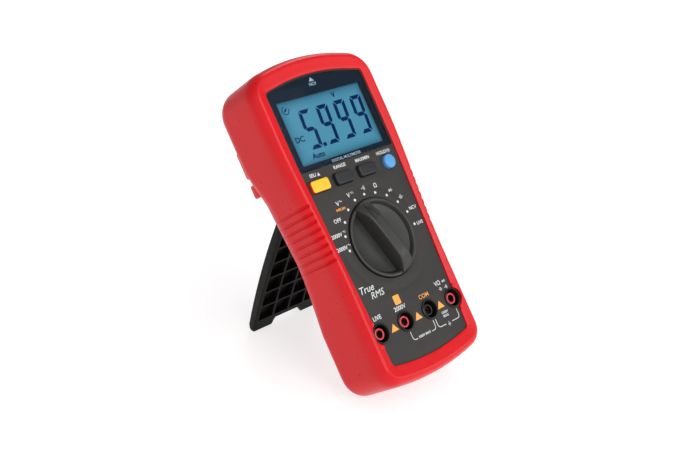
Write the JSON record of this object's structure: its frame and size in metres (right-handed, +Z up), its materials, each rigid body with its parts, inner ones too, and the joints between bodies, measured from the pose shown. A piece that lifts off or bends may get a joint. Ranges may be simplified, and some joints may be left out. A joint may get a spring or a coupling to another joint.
{
  "type": "digital multimeter",
  "caption": "Handheld digital multimeter leaning on its fold-out stand: red shell, rotary selector, soft keys, backlit display and a row of shrouded 4 mm sockets.",
  "frame": {"origin": "middle of the meter's box at rest, on the surface it stands on", "axes": "+Z up, +X across the front panel to the right, front panel facing -Y and leaning back 35 degrees"},
  "size_m": [0.088, 0.1328, 0.1686],
  "materials": {
    "red_shell": "satin soft-touch moulding",
    "panel_grey": "fine-grained moulding",
    "black_plastic": "fine-grained moulding",
    "display_window": "polished, tinted border",
    "display_cell": "backlit blue",
    "white_plastic": "smooth",
    "yellow_key": "satin",
    "blue_key": "satin",
    "red_insulator": "smooth",
    "circuit_board": "solder mask",
    "brass": "turned",
    "steel": "plated",
    "cell_jacket": "printed sleeve",
    "component": "dipped coating",
    "component_blue": "dipped coating"
  },
  "bodies": {
    "meter": {"front_case": "red_shell", "rear_case": "red_shell", "battery_cover": "red_shell", "front_panel": "panel_grey", "display_lens": "display_window", "lcd_glass": "display_cell", "lcd_frame": "white_plastic", "backlight_panel": "white_plastic", "zebra_strip": "black_plastic", "main_circuit_board": "circuit_board", "measurement_chip": "black_plastic", "crystal": "steel", "buzzer": "black_plastic", "ptc_thermistor": "component", "varistor": "component_blue", "high_voltage_resistor": "component", "voltage_sensor_antenna": "brass", "battery_cover_screw": "steel", "select_switch": "steel", "range_switch": "steel", "maxmin_switch": "steel", "hold_switch": "steel", "live_jack_insulator": "red_insulator", "live_socket": "brass", "high_voltage_jack_insulator": "red_insulator", "high_voltage_socket": "brass", "common_jack_insulator": "black_plastic", "common_socket": "brass", "volt_ohm_jack_insulator": "red_insulator", "volt_ohm_socket": "brass", "battery_cell_1": "cell_jacket", "case_screw_1": "steel", "battery_cell_2": "cell_jacket", "case_screw_2": "steel", "battery_cell_3": "cell_jacket", "case_screw_3": "steel", "battery_cell_4": "cell_jacket", "case_screw_4": "steel", "battery_terminal_positive": "steel", "battery_terminal_negative": "steel", "battery_bridge_1": "steel", "battery_bridge_2": "steel", "battery_bridge_3": "steel"},
    "selector": {"selector_knob": "panel_grey", "knob_rotor": "white_plastic", "rotor_contact_1": "brass", "rotor_contact_2": "brass", "detent_ball_1": "steel", "detent_ball_2": "steel", "detent_spring_1": "steel", "detent_spring_2": "steel"},
    "stand": {"tilt_stand": "black_plastic"},
    "select_key": {"select_button": "yellow_key", "select_plunger": "black_plastic"},
    "range_key": {"range_button": "black_plastic", "range_plunger": "black_plastic"},
    "maxmin_key": {"maxmin_button": "black_plastic", "maxmin_plunger": "black_plastic"},
    "hold_key": {"hold_button": "blue_key", "hold_plunger": "black_plastic"}
  },
  "joints": [
    {"name": "selector_turn", "type": "hinge", "parent": "meter", "child": "selector", "pos_m": [0, -0.0228, 0.08111], "axis": [0, -0.8196, 0.573], "range_deg": [-108, 72]},
    {"name": "stand_hinge", "type": "hinge", "parent": "meter", "child": "stand", "pos_m": [0, 0.02598, 0.09154], "axis": [1, 0, 0], "range_deg": [-55.54, 0]},
    {"name": "select_press", "type": "slide", "parent": "meter", "child": "select_key", "axis": [0, 0.8196, -0.573], "range_m": [0, 0.0008], "stiffness_N_per_m": 500, "springref_m": -0.001},
    {"name": "range_press", "type": "slide", "parent": "meter", "child": "range_key", "axis": [0, 0.8196, -0.573], "range_m": [0, 0.0008], "stiffness_N_per_m": 500, "springref_m": -0.001},
    {"name": "maxmin_press", "type": "slide", "parent": "meter", "child": "maxmin_key", "axis": [0, 0.8196, -0.573], "range_m": [0, 0.0008], "stiffness_N_per_m": 500, "springref_m": -0.001},
    {"name": "hold_press", "type": "slide", "parent": "meter", "child": "hold_key", "axis": [0, 0.8196, -0.573], "range_m": [0, 0.0008], "stiffness_N_per_m": 500, "springref_m": -0.001}
  ]
}
